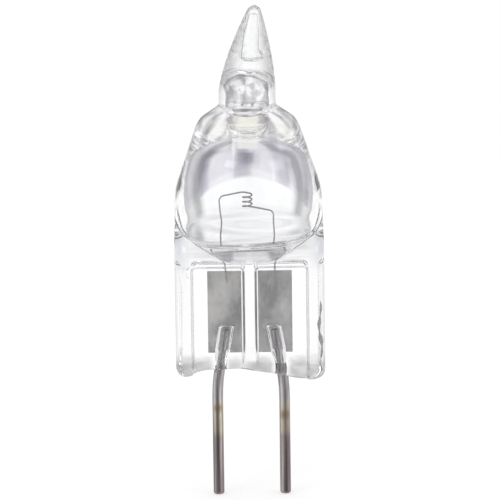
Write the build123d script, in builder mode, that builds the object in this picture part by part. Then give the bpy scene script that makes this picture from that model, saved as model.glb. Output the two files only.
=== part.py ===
"""Two-pin halogen bulb: a quartz envelope with a pinch seal, a tungsten filament, two foils and two pins.

Millimetres. +Z runs up the bulb to the exhaust tip, +X along the pair of pins, and the front of the
seal faces -Y. The origin lies midway between the pins, level with their tips.
"""

from build123d import *
import os
from math import atan, atan2, cos, degrees, pi, radians, sin, tan

# Pins
pin_diameter = 0.65
pin_spacing = 4.0  # centre to centre of the straight ends, as the two-pin base has it
pin_weld_spacing = 2.9  # centre to centre of the welded ends, inside the seal
pin_exposed = 7.7  # from the tips up to the underside of the seal
pin_buried = 2.35  # from the underside of the seal up to the welded ends
pin_bend_drop = 0.95  # the bend's corner hangs this far under the seal
pin_bend_radius = 10.5
pin_tip_round = 0.14
pin_weld_flat = 0.03  # depth of the flat that each pin's weld leaves on it

# Gap round each pin in the quartz, which shrinks away from the metal as it cools
pin_clearance = 0.02  # on the radius, where the pin leaves the seal
gap_widening = 0.16  # more on the radius at the welded end
gap_headroom = 0.3  # above the welded end
gap_round = 0.2

# Foils, etched to thin edges so that the quartz grips them
foil_width = 2.06
foil_height = 4.95
foil_thickness = 0.03
foil_edge_thickness = 0.01
foil_edge_taper = 0.35
foil_spacing = 2.98
foil_lift = 0.95  # lower edge above the underside of the seal

# Filament wire
wire_diameter = 0.09
wire_weld_flat = 0.012
wire_weld_length = 0.7  # of each leg, on its foil
wire_clearance = 0.01  # on the radius, in the quartz
coil_radius = 0.28  # to the middle of the wire
coil_pitch = 0.26
coil_turns = 3
coil_offset = -0.07  # sideways from the bulb's axis
coil_rise = 9.49  # foot of the coil above the underside of the seal
coil_run_out = 0.3  # straight wire that leaves each end of the coil
left_leg_foot = -1.35
left_leg_head = -1.8
left_leg_sag = 0.2  # the left lead's corner below the head of the coil
right_leg_foot = 1.52
right_leg_head = 1.5
right_leg_sag = 0.28  # the right lead's corner below the foot of the coil
wire_bend_radius = 0.32

# Pinch seal
seal_width = 8.9
seal_thickness = 3.2
seal_edge_round = 0.85  # round long edges, seen from above
web_thickness = 2.2
web_rise = 6.21  # upper edge of the web above the underside of the seal, where the web runs out
web_draft = 15  # degrees, from the jaws that press it
web_corner_round = 0.3
web_floor_round = 0.2
web_rim_round = 0.08
middle_rib_width = 0.95  # at the web
rim_crown = 0.07  # flat left between the web's rim and the round edges of the seal
side_rib_drop = 0.35  # the side ribs hang this far under the seal's underside
seal_foot_round = 0.6
web_foot_round = 0.45  # front and back edge of the web's underside
seal_top_rise = 9.2  # shoulders of the seal above its underside
seal_top_round = 0.8
joint_round = 0.12  # where the seal runs into the bulb

# Bulb, which stands just above the rim of the web, each rise measured from the edge below
bulb_diameter = 8.8
foot_inset = 2.45  # the foot is a flat cone, this much less in radius at its lower edge
foot_rise = 2.05
foot_round = 2.0
foot_side_round = 2.0
belly_rise = 4.2
belly_round = 5.0
shoulder_inset = 1.45
shoulder_rise = 4.25
shoulder_round = 1.5
neck_rise = 0.85
neck_round = 0.3
stub_diameter = 3.38
stub_rise = 0.75
tip_height = 5.16
tip_end_radius = 0.3
tip_lean = 0.5  # the drawn tip bends to one side
tip_curl = 1.2  # 1 leans straight, more bends late
tip_swell = 1.5  # 1 is a straight cone, more is fuller
tip_shares = (0, 0.12, 0.4, 0.75, 1)  # heights of the tip's sections, from its foot to its end
end_round = 0.85  # rounding of the tip's and the bubble's ends, as a share of their radius

# Inside of the bulb
wall = 0.55  # at the belly
floor_thickness = 1.35
floor_inset = 0.85  # the hollow narrows by this much in radius from its belly to its floor
floor_round = 0.9
hollow_belly_drop = 0.15  # below the belly's outer edge
hollow_belly_round = 3.6
dome_inset = 0.62  # and by this much from its belly to the edge of its dome
dome_drop = 1.4  # below the shoulder's outer edge
dome_round = 3.2
throat_diameter = 2.3
throat_drop = 0.9  # lower edge of the throat, below the neck
throat_length = 0.2
throat_round = 0.12
chamber_wall = 0.38
chamber_flare = 0.2
chamber_foot_round = 0.15
chamber_rise = 2.15  # its top above the neck
chamber_round = 1.25
bubble_drop = 0.5  # end of the bubble in the drawn tip, below the very top
bubble_length = 2.85
bubble_radius = 0.42
bubble_belly_rise = 1.7  # above its foot
bubble_belly_radius = 0.37
bubble_belly_round = 1.5
bubble_end_radius = 0.2

# Levels and offsets that follow from these sizes
pin_radius = pin_diameter / 2
wire_radius = wire_diameter / 2
seal_z = pin_exposed
weld_z = seal_z + pin_buried
bend_z = seal_z - pin_bend_drop
foil_z = seal_z + foil_lift
foil_top_z = foil_z + foil_height
foil_front = pin_radius - pin_weld_flat
wire_plane = foil_front + wire_weld_flat - wire_radius
low_z = seal_z - side_rib_drop
top_z = seal_z + seal_top_rise
web_depth = (seal_thickness - web_thickness) / 2
rim_width = web_depth * tan(radians(web_draft)) + web_rim_round
inner_rib = seal_width / 2 - seal_edge_round - rim_crown - rim_width
web_top_z = seal_z + web_rise
bulb_z = web_top_z + rim_width + joint_round
belly_z = bulb_z + belly_rise
shoulder_z = belly_z + shoulder_rise
neck_z = shoulder_z + neck_rise
tip_foot_z = neck_z + stub_rise
tip_top_z = tip_foot_z + tip_height
bulb_radius = bulb_diameter / 2
stub_radius = stub_diameter / 2
coil_foot_z = seal_z + coil_rise
coil_head_z = coil_foot_z + coil_pitch * coil_turns
coil_middle = wire_plane - coil_radius
inner_foot_z = bulb_z + floor_thickness
big = 4 * bulb_diameter

os.makedirs("parts", exist_ok=True)

# Pins: straight in the seal, then bent upright
pin_lean = atan2((pin_spacing - pin_weld_spacing) / 2, weld_z - bend_z)
for side, name in ((-1, "pin_left"), (1, "pin_right")):
    weld_point = (side * pin_weld_spacing / 2, 0, weld_z)
    bend_point = (side * pin_spacing / 2, 0, bend_z)
    tip_point = (side * pin_spacing / 2, 0, 0)
    with BuildPart() as pin:
        with BuildLine():
            FilletPolyline(tip_point, bend_point, weld_point, radius=pin_bend_radius)
        with BuildSketch(Plane(tip_point)):
            Circle(pin_radius)
        sweep()
        fillet(pin.edges().group_by(Axis.Z)[0], pin_tip_round)
        with Locations((0, foil_front, foil_z)):
            Box(big, big, big, align=(Align.CENTER, Align.MIN, Align.MIN), mode=Mode.SUBTRACT)
    pin.part.label = name
    export_step(pin.part, f"parts/{name}.step")

# Foils: flat strips with thin edges
foil_flat = foil_width - 2 * foil_edge_taper
foil_middle = foil_front + foil_thickness / 2
foils = []
for side, name in ((-1, "foil_left"), (1, "foil_right")):
    with BuildPart() as foil:
        with BuildSketch(Plane((side * foil_spacing / 2, foil_middle, foil_z))):
            with BuildLine():
                Polyline(
                    (foil_width / 2, foil_edge_thickness / 2),
                    (foil_flat / 2, foil_thickness / 2),
                    (0, foil_thickness / 2),
                )
                Line((foil_width / 2, 0), (foil_width / 2, foil_edge_thickness / 2))
                mirror(about=Plane.XZ)
                mirror(about=Plane.YZ)
            make_face()
        extrude(amount=foil_height)
    foil.part.label = name
    export_step(foil.part, f"parts/{name}.step")
    foils.append(foil.part)

# Filament: one wire, up the right leg, round the coil and down the left leg
wire_foot_z = foil_top_z - wire_weld_length
coil_slope = atan(coil_pitch / (2 * pi * coil_radius))
run_out_x = coil_run_out * cos(coil_slope)
run_out_z = coil_run_out * sin(coil_slope)
right_foot = (right_leg_foot, wire_plane, wire_foot_z)
right_corner = (right_leg_head, wire_plane, coil_foot_z - right_leg_sag)
coil_in = (coil_offset + run_out_x, wire_plane, coil_foot_z - run_out_z)
coil_foot = (coil_offset, wire_plane, coil_foot_z)
coil_head = (coil_offset, wire_plane, coil_head_z)
coil_out = (coil_offset - run_out_x, wire_plane, coil_head_z + run_out_z)
left_corner = (left_leg_head, wire_plane, coil_head_z - left_leg_sag)
left_foot = (left_leg_foot, wire_plane, wire_foot_z)
coil_plane = Plane((coil_offset, coil_middle, coil_foot_z), x_dir=(0, 1, 0), z_dir=(0, 0, 1))

with BuildPart() as filament:
    with BuildLine() as right_leg:
        FilletPolyline(right_foot, right_corner, coil_in, coil_foot, radius=wire_bend_radius)
    with BuildSketch(Plane(right_foot, z_dir=right_leg.line % 0)):
        Circle(wire_radius)
    sweep(path=right_leg.line)
    with BuildLine() as coil:
        add(coil_plane * Helix(coil_pitch, coil_pitch * coil_turns, coil_radius, mode=Mode.PRIVATE))
    with BuildSketch(Plane(coil_foot, z_dir=coil.line % 0)):
        Circle(wire_radius)
    sweep(path=coil.line)
    with BuildLine() as left_leg:
        FilletPolyline(coil_head, coil_out, left_corner, left_foot, radius=wire_bend_radius)
    with BuildSketch(Plane(coil_head, z_dir=left_leg.line % 0)):
        Circle(wire_radius)
    sweep(path=left_leg.line)
    with Locations((0, foil_front, foil_top_z)):
        Box(big, big, big, align=(Align.CENTER, Align.MIN, Align.MAX), mode=Mode.SUBTRACT)
filament.part.label = "filament"
export_step(filament.part, "parts/filament.step")

# Hollows that the quartz leaves round the pins and the legs of the filament
gap_length = (pin_buried + pin_bend_drop + gap_headroom) / cos(pin_lean)
gap_taper = degrees(atan(gap_widening / gap_length))
with BuildPart() as gaps:
    for side in (-1, 1):
        lean_axis = (-side * sin(pin_lean), 0, cos(pin_lean))
        with BuildSketch(Plane((side * pin_spacing / 2, 0, bend_z), z_dir=lean_axis)):
            Circle(pin_radius + pin_clearance)
        extrude(amount=gap_length, taper=-gap_taper)
    fillet(gaps.edges().group_by(Axis.Z)[-1], gap_round)
    for foot, head in ((left_foot, left_corner), (right_foot, right_corner)):
        with BuildSketch(Plane(foot, z_dir=Vector(*head) - Vector(*foot))):
            Circle(wire_radius + wire_clearance)
        extrude(amount=wire_weld_length + inner_foot_z + floor_round - foil_top_z)
    with Locations((0, foil_front, foil_z)):
        Box(big, big, foil_height, align=(Align.CENTER, Align.MIN, Align.MIN), mode=Mode.SUBTRACT)

# Pinch seal, pressed flat between two jaws
web_width = inner_rib - middle_rib_width / 2
web_centre = (inner_rib + middle_rib_width / 2) / 2
web_height = web_top_z - low_z + seal_thickness
web_front = (0, -web_thickness / 2, web_top_z - web_height / 2)
with BuildPart() as web_hollows:
    with BuildSketch(Plane(web_front, x_dir=(1, 0, 0), z_dir=(0, -1, 0))):
        with Locations((-web_centre, 0), (web_centre, 0)):
            RectangleRounded(web_width, web_height, web_corner_round)
    extrude(amount=seal_thickness / 2, taper=-web_draft)
    fillet(web_hollows.edges().group_by(Axis.Y)[-1], web_floor_round)
    mirror(about=Plane.XZ)

channel_half = inner_rib - side_rib_drop
channel_foot_half = inner_rib + side_rib_drop
channel_foot_z = low_z - side_rib_drop
foot_flat = web_thickness / 2 - web_foot_round
foot_round_z = seal_z + web_foot_round
with BuildPart() as seal:
    with BuildSketch(Plane((0, 0, low_z))):
        RectangleRounded(seal_width, seal_thickness, seal_edge_round)
    extrude(amount=top_z - low_z)
    fillet(seal.edges().group_by(Axis.Z)[0], seal_foot_round)
    fillet(seal.edges().group_by(Axis.Z)[-1], seal_top_round)
    with BuildSketch(Plane.XZ):
        with BuildLine():
            FilletPolyline(
                (-channel_foot_half, channel_foot_z),
                (-channel_half, seal_z),
                (channel_half, seal_z),
                (channel_foot_half, channel_foot_z),
                radius=side_rib_drop,
            )
            Line((-channel_foot_half, channel_foot_z), (channel_foot_half, channel_foot_z))
        make_face()
    extrude(amount=big, both=True, mode=Mode.SUBTRACT)
    add(web_hollows.part, mode=Mode.SUBTRACT)
    rims = seal.edges(Select.LAST).group_by(Axis.Y)
    fillet(rims[0] + rims[-1], web_rim_round)
    with BuildSketch(Plane.YZ):
        with BuildLine():
            foot_arc = CenterArc((foot_flat, foot_round_z), web_foot_round, -90, 90)
            Polyline(
                foot_arc @ 1,
                (seal_thickness, foot_round_z + seal_thickness - web_thickness / 2),
                (seal_thickness, channel_foot_z),
                (foot_flat, channel_foot_z),
                foot_arc @ 0,
            )
        make_face()
        mirror(about=Plane.YZ)
    extrude(amount=inner_rib, both=True, mode=Mode.SUBTRACT)

# Hollow of the bulb, the chamber in the stub and the bubble in the tip
throat_z = neck_z - throat_drop
throat_radius = throat_diameter / 2
chamber_radius = stub_radius - chamber_wall
chamber_z = throat_z + throat_length + chamber_flare
chamber_top_z = neck_z + chamber_rise
inner_radius = bulb_radius - wall
with BuildPart() as hollow:
    with BuildSketch(Plane.XZ):
        with BuildLine():
            FilletPolyline(
                (0, inner_foot_z),
                (inner_radius - floor_inset, inner_foot_z),
                (inner_radius, belly_z - hollow_belly_drop),
                (inner_radius - dome_inset, shoulder_z - dome_drop),
                (throat_radius, throat_z),
                (throat_radius, throat_z + throat_length),
                (chamber_radius, chamber_z),
                (chamber_radius, chamber_top_z),
                (0, chamber_top_z),
                radius=(
                    floor_round,
                    hollow_belly_round,
                    dome_round,
                    throat_round,
                    throat_round,
                    chamber_foot_round,
                    chamber_round,
                ),
            )
            Line((0, chamber_top_z), (0, inner_foot_z))
        make_face()
    revolve(axis=Axis.Z)

bubble_top_z = tip_top_z - bubble_drop
bubble_foot_z = bubble_top_z - bubble_length
bubble_top_x = tip_lean * ((bubble_top_z - tip_foot_z) / tip_height) ** tip_curl
bubble_foot_x = tip_lean * ((bubble_foot_z - tip_foot_z) / tip_height) ** tip_curl
bubble_tilt = atan2(bubble_top_x - bubble_foot_x, bubble_length)
bubble_foot = (bubble_foot_x, 0, bubble_foot_z)
bubble_axis = (sin(bubble_tilt), 0, cos(bubble_tilt))
bubble_side = (cos(bubble_tilt), 0, -sin(bubble_tilt))
with BuildPart() as bubble:
    with BuildSketch(Plane(bubble_foot, x_dir=bubble_side, z_dir=(0, -1, 0))):
        with BuildLine():
            FilletPolyline(
                (0, 0),
                (bubble_radius, 0),
                (bubble_belly_radius, bubble_belly_rise),
                (bubble_end_radius, bubble_length),
                (0, bubble_length),
                radius=(end_round * bubble_radius, bubble_belly_round, end_round * bubble_end_radius),
            )
            Line((0, bubble_length), (0, 0))
        make_face()
    revolve(axis=Axis(bubble_foot, bubble_axis))

# Envelope: bulb and stub turned in the flame, the tip drawn out, the seal pressed, then the hollows
with BuildPart() as envelope:
    with BuildSketch(Plane.YZ):
        with BuildLine():
            FilletPolyline(
                (0, bulb_z),
                (bulb_radius - foot_inset, bulb_z),
                (bulb_radius, bulb_z + foot_rise),
                (bulb_radius, belly_z),
                (bulb_radius - shoulder_inset, shoulder_z),
                (stub_radius, neck_z),
                (stub_radius, tip_foot_z),
                radius=(foot_round, foot_side_round, belly_round, shoulder_round, neck_round),
            )
            Polyline((stub_radius, tip_foot_z), (0, tip_foot_z), (0, bulb_z))
        make_face()
    revolve(axis=Axis.Z)
    for share in tip_shares:
        tip_centre = (tip_lean * share**tip_curl, 0, tip_foot_z + tip_height * share)
        with BuildSketch(Plane(tip_centre)):
            Circle(stub_radius - (stub_radius - tip_end_radius) * share**tip_swell)
    loft()
    fillet(envelope.edges().group_by(Axis.Z)[-1], end_round * tip_end_radius)
    add(seal.part)
    fillet(envelope.edges(Select.NEW), joint_round)
    add(hollow.part, mode=Mode.SUBTRACT)
    add(gaps.part, mode=Mode.SUBTRACT)
    add(foils, mode=Mode.SUBTRACT)
    add(bubble.part, mode=Mode.SUBTRACT)
envelope.part.label = "envelope"
export_step(envelope.part, "parts/envelope.step")
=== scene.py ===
# %% [markdown]
# # A halogen bulb in clear quartz
#
# The bulb is a capsule of fused quartz, blown at the top and pinched flat at the bottom, with a tungsten
# wire, two molybdenum foils and two pins sealed inside it. This lesson dresses the packed CAD model. The
# metal pieces keep their CAD form and get a finish. The quartz is laid again as a fine mesh, because
# glass shows every facet. Its sizes are written in millimetres and turned into metres at the end.

# %% Load the packed model
from math import cos, radians, sin

import bmesh
import bpy
import numpy as np
from mathutils import Euler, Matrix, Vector


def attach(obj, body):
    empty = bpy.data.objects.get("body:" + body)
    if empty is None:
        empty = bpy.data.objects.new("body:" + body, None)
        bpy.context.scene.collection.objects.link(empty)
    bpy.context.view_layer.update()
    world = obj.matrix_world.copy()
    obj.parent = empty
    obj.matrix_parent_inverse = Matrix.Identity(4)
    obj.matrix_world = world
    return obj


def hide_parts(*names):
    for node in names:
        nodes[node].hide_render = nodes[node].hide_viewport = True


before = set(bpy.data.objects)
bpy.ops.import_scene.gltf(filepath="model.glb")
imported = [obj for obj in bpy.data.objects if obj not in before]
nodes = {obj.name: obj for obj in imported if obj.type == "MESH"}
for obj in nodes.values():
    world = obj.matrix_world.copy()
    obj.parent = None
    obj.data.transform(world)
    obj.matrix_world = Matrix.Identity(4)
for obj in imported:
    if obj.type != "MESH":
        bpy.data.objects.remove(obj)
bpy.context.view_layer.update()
MM = 0.001
print("pieces:", sorted(nodes))

# %% [markdown]
# ## Outlines with rounded corners
#
# The outside and the hollow of the bulb are turned forms, and quartz that was blown in a flame has no
# sharp corner. Each form is given by a few corner points and a radius at each corner. A Bezier curve
# would only come near an arc, so a helper lays true arcs between the straight runs.


# %% A helper that rounds the corners of an outline
def rounded_outline(corners, radii, steps=10):
    """Points along the straight runs, with an arc of its own radius at each inner corner."""
    corners = [np.array(corner, float) for corner in corners]
    points = [corners[0]]
    for before, corner, after, radius in zip(corners, corners[1:], corners[2:], radii):
        come = (corner - before) / np.linalg.norm(corner - before)
        go = (after - corner) / np.linalg.norm(after - corner)
        turn = np.arccos(np.clip(come @ go, -1, 1))
        setback = radius * np.tan(turn / 2)
        inward = (go - come) / np.linalg.norm(go - come)
        middle = corner + inward * radius / np.cos(turn / 2)
        start = corner - come * setback - middle
        for angle in np.linspace(0, turn, steps):
            points.append(middle + start * np.cos(angle) + come * radius * np.sin(angle))
    points.append(corners[-1])
    return np.array(points)


print("one rounded corner:", len(rounded_outline([(0, 0), (1, 0), (1, 1)], [0.5])), "points")

# %% [markdown]
# ## Soft changes
#
# On melted quartz nothing starts or ends suddenly. One helper eases a share from 0 to 1. Another takes
# the higher of two surfaces and rounds the crease between them, as the flame does. A Bevel modifier
# could round it too, but it wants a clean edge, and this crease wanders across the mesh.


# %% Helpers for soft changes
def smooth_step(low, high, value):
    """0 below low, 1 above high and an even ease between them."""
    share = np.clip((value - low) / (high - low), 0, 1)
    return share * share * (3 - 2 * share)


def soft_max(a, b, width):
    """The larger of two heights, rounded where they differ by less than that width."""
    near = np.clip(1 - np.abs(a - b) / width, 0, 1)
    return np.maximum(a, b) + near * near * width / 4


print("half way up an ease:", smooth_step(0, 1, 0.5))
print("where two heights of 1 meet:", soft_max(1, 1, 0.3))

# %% [markdown]
# ## The bulb and its drawn tip
#
# The upper part was blown round and then closed by drawing off the exhaust tube in a flame, which leaves
# a short stub and a pointed tip that leans to one side. A Screw modifier could turn the outline, but the
# bulb has to run into the flat seal without a cut edge. So only its radius at each height is needed here.

# %% Sizes and outline of the bulb
BULB_RADIUS = 4.4
BULB_FOOT, BULB_BELLY, BULB_SHOULDER = 14.25, 16.3, 18.45
STUB_RADIUS, STUB_FOOT = 1.69, 23.55
NECK_RADIUS, NECK_HEIGHT = 2.95, 22.7
FOOT_RADIUS = 1.95
TIP_FOOT, TIP_TOP = 24.3, 29.45
TIP_END_RADIUS = 0.3
TIP_LEAN = 0.5
BULB_ROUNDS = [2.0, 2.0, 5.0, 1.5, 0.3]
bulb_outline = rounded_outline(
    [
        (0, BULB_FOOT),
        (FOOT_RADIUS, BULB_FOOT),
        (BULB_RADIUS, BULB_BELLY),
        (BULB_RADIUS, BULB_SHOULDER),
        (NECK_RADIUS, NECK_HEIGHT),
        (STUB_RADIUS, STUB_FOOT),
        (STUB_RADIUS, TIP_FOOT),
    ],
    BULB_ROUNDS,
)
print("bulb outline:", len(bulb_outline), "points, widest", round(bulb_outline[:, 0].max(), 3), "mm")

# %% Radius and lean at each height
TIP_TAPER_POWER = 1.5
LEAN_POWER = 1.2
HAIR = 1e-9


def tip_share(z):
    """0 at the foot of the tip and 1 at its top."""
    return np.clip((z - TIP_FOOT) / (TIP_TOP - TIP_FOOT), 0, 1)


def turned_radius(z):
    """Radius of the bulb, the stub and the drawn tip at height z."""
    rising = bulb_outline[:, 1] + np.arange(len(bulb_outline)) * HAIR
    below = np.interp(z, rising, bulb_outline[:, 0])
    tip = STUB_RADIUS - (STUB_RADIUS - TIP_END_RADIUS) * tip_share(z) ** TIP_TAPER_POWER
    left = np.clip(TIP_TOP - z, 0, TIP_END_RADIUS)
    cap = np.sqrt(np.clip(2 * TIP_END_RADIUS * left - left**2, 0, None)) / TIP_END_RADIUS
    radius = np.where(z < TIP_FOOT, below, tip * np.where(z > TIP_TOP - TIP_END_RADIUS, cap, 1))
    return np.where(z < BULB_FOOT, 0, radius)


def tip_shift(z):
    """How far the drawn tip has leant over at height z."""
    return TIP_LEAN * tip_share(z) ** LEAN_POWER


print("radius at the foot of the tip:", turned_radius(TIP_FOOT), "mm")
print("lean at the top of the tip:", tip_shift(TIP_TOP), "mm")

# %% [markdown]
# ## The pinched seal
#
# Steel jaws press the soft tube flat round the foils. They leave a sunk web on each side of a middle rib,
# and thick rounded ribs along the edges. A box with bevels and boolean cuts would give the form, but each
# cut leaves thin triangles that show in glass as scratches. So the seal is a formula that says how far
# its face stands out at each point.

# %% Sizes of the seal
SEAL_HALF_WIDTH, SEAL_HALF_DEPTH = 4.45, 1.6
SEAL_EDGE_ROUND, SEAL_END_ROUND = 0.85, 0.6
SEAL_FOOT = 7.7
SEAL_FAIR_LOW, SEAL_TOP = 14.6, 17.4
WEB_DEPTH, WEB_HIGH = 0.5, 14.12
WEB_INNER, WEB_OUTER = 0.26, 3.53
WEB_FLANK, WEB_CORNER = 0.22, 0.35
RIB_END_LOW, RIB_END_HIGH = 8.0, 9.2
LEAST_FACE = 0.3
EDGE_SLACK = 1e-6
NOT_THERE = -9.0
print("seal:", 2 * SEAL_HALF_WIDTH, "mm wide and", 2 * SEAL_HALF_DEPTH, "mm thick")
print("webs:", round(WEB_OUTER - WEB_INNER, 2), "mm wide and", WEB_DEPTH, "mm deep")


# %% Face of the seal
def end_inset(z):
    """How far the seal draws in at its rounded foot."""
    rise = np.clip(SEAL_FOOT + SEAL_END_ROUND - z, 0, SEAL_END_ROUND)
    return SEAL_END_ROUND - np.sqrt(SEAL_END_ROUND**2 - rise**2)


def web_recess(x, z):
    """Depth that the jaws pressed into the face at x and z. The middle rib runs out at the foot."""
    half = (WEB_OUTER - WEB_INNER) / 2
    over_x = np.abs(np.abs(x) - (WEB_OUTER + WEB_INNER) / 2) - half + WEB_CORNER
    over_z = z - WEB_HIGH + WEB_CORNER
    corner = np.hypot(np.maximum(over_x, 0), np.maximum(over_z, 0))
    past_web = corner + np.minimum(np.maximum(over_x, over_z), 0)
    web = smooth_step(0, WEB_FLANK, WEB_CORNER - past_web)
    between_ribs = smooth_step(0, WEB_FLANK, WEB_OUTER - np.abs(x))
    rib_gone = between_ribs * (1 - smooth_step(RIB_END_LOW, RIB_END_HIGH, z))
    return WEB_DEPTH * np.maximum(web, rib_gone)


def seal_face(x, z):
    """Half depth of the seal at x and z. It fades out beside the bulb."""
    inset = end_inset(z)
    round_here = SEAL_EDGE_ROUND - inset
    past = np.clip(np.abs(x) - (SEAL_HALF_WIDTH - SEAL_EDGE_ROUND), 0, round_here)
    edge = np.sqrt(np.clip(round_here**2 - past**2, 0, None))
    recess = np.minimum(web_recess(x, z), SEAL_HALF_DEPTH - inset - LEAST_FACE)
    face = SEAL_HALF_DEPTH - SEAL_EDGE_ROUND + edge - recess
    face = face * (1 - smooth_step(SEAL_FAIR_LOW, SEAL_TOP, z))
    on_seal = (np.abs(x) <= SEAL_HALF_WIDTH - inset + EDGE_SLACK) & (z <= SEAL_TOP)
    return np.where(on_seal, face, NOT_THERE)


print("half depth on the middle rib and in a web:", seal_face(0, 11.0), seal_face(2.0, 11.0), "mm")

# %% [markdown]
# ## Seal and bulb as one skin
#
# The quartz is one piece, so its skin is one surface. A boolean union of a bulb and a seal would leave a
# sharp seam. Here the front is a height over x at each level: whichever stands further out, the seal or
# the bulb, with the crease between them rounded.

# %% One skin from both forms
JOINT_ROUND = 0.3
SEAL_DRAW_IN = 0.06


def half_width(z):
    """Half width of the skin at height z."""
    fade = smooth_step(SEAL_FAIR_LOW, SEAL_TOP, z)
    seal = np.where(z <= SEAL_TOP, SEAL_HALF_WIDTH - end_inset(z) - SEAL_DRAW_IN * fade, 0)
    return np.maximum(seal, turned_radius(z))


def front_height(x, z):
    """How far the skin stands out of the middle plane at x and z."""
    radius = turned_radius(z)
    bulb = np.sqrt(np.clip(radius**2 - x**2, 0, None))
    bulb = np.where(np.abs(x) <= radius + HAIR, bulb, NOT_THERE)
    seal = seal_face(x, z)
    both = (bulb > NOT_THERE) & (seal > NOT_THERE)
    return np.where(both, soft_max(bulb, seal, JOINT_ROUND), np.maximum(bulb, seal))


print("half width at the seal and the belly:", half_width(11.0), half_width(18.0), "mm")

# %% [markdown]
# ## What the flame and the jaws left
#
# The foot of the seal sank while it was soft, the corners of the jaws left two small dents, and the tip
# is a little lumpy. A Displace modifier with a noise could roughen the skin, but these marks have known
# places, so each is a small formula of its own.

# %% Flame marks and dents
LEFT_HANG, LEFT_HANG_RUN = 0.34, (-3.9, -2.3)
RIGHT_HANG, RIGHT_HANG_RUN = 0.6, (-0.8, 3.5)
FOOT_WAVE, FOOT_WAVE_PITCH, FOOT_WAVE_START = 0.03, 2.6, 0.4
FOOT_MELT = 2.0
JAW_DENTS = [
    {"x": -3.8, "z": 13.85, "reach": 0.2, "depth": 0.14},
    {"x": 3.45, "z": 13.9, "reach": 0.17, "depth": 0.12},
]
TIP_WAVES = [(1.0, 5, 9.1, 0.0), (1.0, 8, -13.7, 1.3), (1.0, 3, 21.3, 0.6)]
TIP_LUMP, TIP_LUMP_RUN = 0.0045, (24.2, 25.2)


def foot_drop(x, z):
    """The side ribs hang lower than the web, and the melted foot sinks away to the right."""
    left = LEFT_HANG * (1 - smooth_step(*LEFT_HANG_RUN, x))
    right = RIGHT_HANG * smooth_step(*RIGHT_HANG_RUN, x)
    waves = FOOT_WAVE * np.sin(FOOT_WAVE_PITCH * x + FOOT_WAVE_START)
    return (left + right + waves) * (1 - smooth_step(SEAL_FOOT, SEAL_FOOT + FOOT_MELT, z))


def pressed_in(x, z):
    """Depth of the dents at x and z."""
    depth = 0
    for dent in JAW_DENTS:
        away = (x - dent["x"]) ** 2 + (z - dent["z"]) ** 2
        depth = depth + dent["depth"] * np.exp(-away / dent["reach"] ** 2)
    return depth


def lumps(angle, z, waves):
    """A sum of waves that wind round the axis, each with a size, its turns, a pitch and a start."""
    return sum(size * np.sin(turns * angle + pitch * z + start) for size, turns, pitch, start in waves)


def tip_lumps(angle, z):
    """The flame leaves the drawn tip a little uneven."""
    return TIP_LUMP * lumps(angle, z, TIP_WAVES) * smooth_step(*TIP_LUMP_RUN, z)


foot_ends = np.array([-SEAL_HALF_WIDTH, 0, SEAL_HALF_WIDTH])
print("drop of the foot at the left, middle and right:", np.round(foot_drop(foot_ends, SEAL_FOOT), 2))

# %% [markdown]
# ## Columns and rows of points
#
# The columns stand closer together where the flanks of the webs are steep, and the rows where the form
# turns quickly. A Subdivision modifier would put points everywhere alike, and an even grid that is fine
# enough for the flanks would have ten times as many.

# %% Columns and rows of the skin
EVEN_COLUMNS, FLANK_COLUMNS = 81, 14
MIDDLE_FLANK, RIB_FLANK = (WEB_INNER, 0.6), (3.2, 3.56)
LEAST_STEP = 0.002
even = np.sin(np.radians(np.linspace(-90, 90, EVEN_COLUMNS)))
near_middle = np.linspace(*MIDDLE_FLANK, FLANK_COLUMNS) / SEAL_HALF_WIDTH
near_rib = np.linspace(*RIB_FLANK, FLANK_COLUMNS) / SEAL_HALF_WIDTH
flanks = np.concatenate([near_middle, -near_middle, near_rib, -near_rib])
extra = [x for x in flanks if np.abs(even - x).min() > LEAST_STEP]
columns = np.sort(np.concatenate([even, extra]))

TIP_CAP = TIP_TOP - TIP_END_RADIUS
row_marks = [SEAL_FOOT, SEAL_FOOT + SEAL_END_ROUND, 8.45, 13.75, 14.2, 17.0, 22.0, TIP_FOOT, TIP_CAP]
row_counts = [13, 3, 15, 19, 39, 35, 35, 35]
stretches = zip(row_marks, row_marks[1:], row_counts)
rows = [np.linspace(low, high, count, endpoint=False) for low, high, count in stretches]
rows.append(TIP_CAP + TIP_END_RADIUS * np.sin(np.radians(np.linspace(0, 84, 9))))
rows = np.concatenate(rows)
print("skin:", len(columns), "columns on each face,", len(rows), "rows")

# %% [markdown]
# ## Laying the skin
#
# Blender makes a mesh from a list of points and a list of faces. Each row gives one ring: across the
# front from left to right, then back behind. Lofting curves would be another way, but then Blender would
# choose where the points lie.

# %% Rings of points
vertices, faces = [], []
across = len(columns)
ring_size = 2 * across
for z in rows:
    x = half_width(z) * columns
    height = np.maximum(front_height(x, np.full_like(x, z)), 0)
    drop = foot_drop(x, z)
    ring_x = np.concatenate([x, x[::-1]])
    ring_y = np.concatenate([pressed_in(x, z) - height, height[::-1]])
    ring_z = z - np.concatenate([drop, drop[::-1]])
    swell = 1 + tip_lumps(np.arctan2(ring_y, ring_x), z)
    vertices += list(zip(ring_x * swell + tip_shift(z), ring_y * swell, ring_z))
print("rings:", len(rows), "of", ring_size, "points")

# %% Faces between the rings, and the point of the tip
right_end, left_end = across - 1, ring_size - 1
for i in range(len(rows) - 1):
    low, high = i * ring_size, (i + 1) * ring_size
    for j in range(ring_size):
        k = (j + 1) % ring_size
        under_the_edge = i == 0 and j in (right_end, left_end)
        if not under_the_edge:
            faces.append((low + j, low + k, high + k, high + j))
tip_pole = len(vertices)
vertices.append((tip_shift(TIP_TOP), 0, TIP_TOP))
last = (len(rows) - 1) * ring_size
faces += [(last + j, last + (j + 1) % ring_size, tip_pole) for j in range(ring_size)]
print("walls and tip:", len(faces), "faces")

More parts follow.
